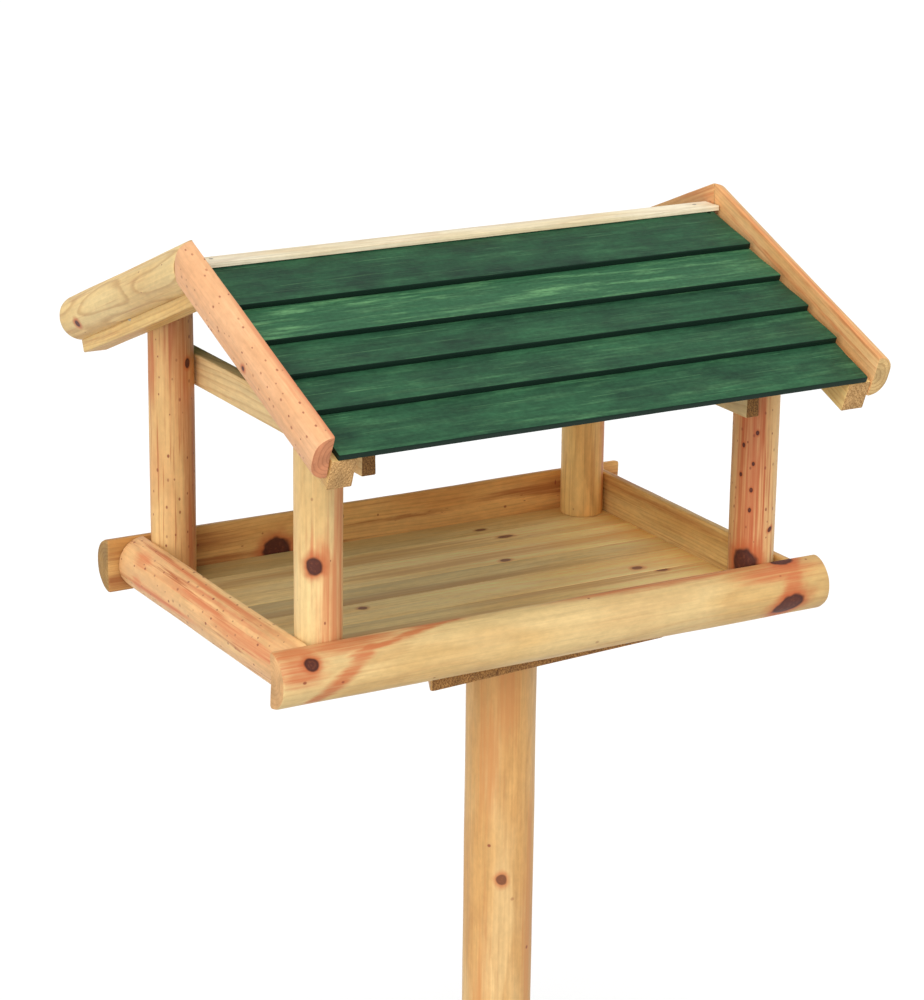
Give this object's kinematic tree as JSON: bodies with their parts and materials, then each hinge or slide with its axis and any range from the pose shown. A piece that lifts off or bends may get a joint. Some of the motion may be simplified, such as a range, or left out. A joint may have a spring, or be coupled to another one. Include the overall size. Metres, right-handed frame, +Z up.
{
  "type": "bird feeder on pole",
  "caption": "Rustic wooden bird table: a log-rimmed tray on a round pole with a tripod foot, under a gable roof of green lapped planks.",
  "frame": {"origin": "on the ground on the pole's axis, at the centre of the pole's lower end face", "axes": "+X along the ridge towards the right gable, +Y to the rear, +Z up the pole"},
  "size_m": [0.51, 0.4728, 1.1919],
  "materials": {
    "log_wood": "planed round fir logs, clear satin finish, knots left in",
    "sawn_wood": "sawn and planed pale fir, unstained, satin",
    "green_stained_wood": "fir with a translucent dark green stain, low sheen",
    "zinc_steel": "zinc plated, dull",
    "green_painted_steel": "nail heads stained over with the planks"
  },
  "bodies": {
    "root": {"floor_panel": "sawn_wood", "front_rim": "log_wood", "gable_log_front_left": "log_wood", "gable_log_front_right": "log_wood", "gable_log_rear_left": "log_wood", "gable_log_rear_right": "log_wood", "gable_screws": "zinc_steel", "left_rim": "log_wood", "leg_left": "log_wood", "leg_rear": "log_wood", "leg_right": "log_wood", "leg_screws": "zinc_steel", "plank_nails": "green_painted_steel", "plate_screws": "zinc_steel", "pole": "log_wood", "pole_screws": "zinc_steel", "post_front_left": "log_wood", "post_front_right": "log_wood", "post_rear_left": "log_wood", "post_rear_right": "log_wood", "post_screws": "zinc_steel", "rafter_front_left": "sawn_wood", "rafter_front_right": "sawn_wood", "rafter_rear_left": "sawn_wood", "rafter_rear_right": "sawn_wood", "rafter_screws": "zinc_steel", "rear_rim": "log_wood", "ridge_lath": "sawn_wood", "ridge_nails": "zinc_steel", "right_rim": "log_wood", "rim_nails": "zinc_steel", "roof_plank_front_1": "green_stained_wood", "roof_plank_front_2": "green_stained_wood", "roof_plank_front_3": "green_stained_wood", "roof_plank_front_4": "green_stained_wood", "roof_plank_front_5": "green_stained_wood", "roof_plank_rear_1": "green_stained_wood", "roof_plank_rear_2": "green_stained_wood", "roof_plank_rear_3": "green_stained_wood", "roof_plank_rear_4": "green_stained_wood", "roof_plank_rear_5": "green_stained_wood", "support_plate": "sawn_wood", "tie_beam_left": "sawn_wood", "tie_beam_right": "sawn_wood", "tie_screws": "zinc_steel"}
  },
  "joints": []
}
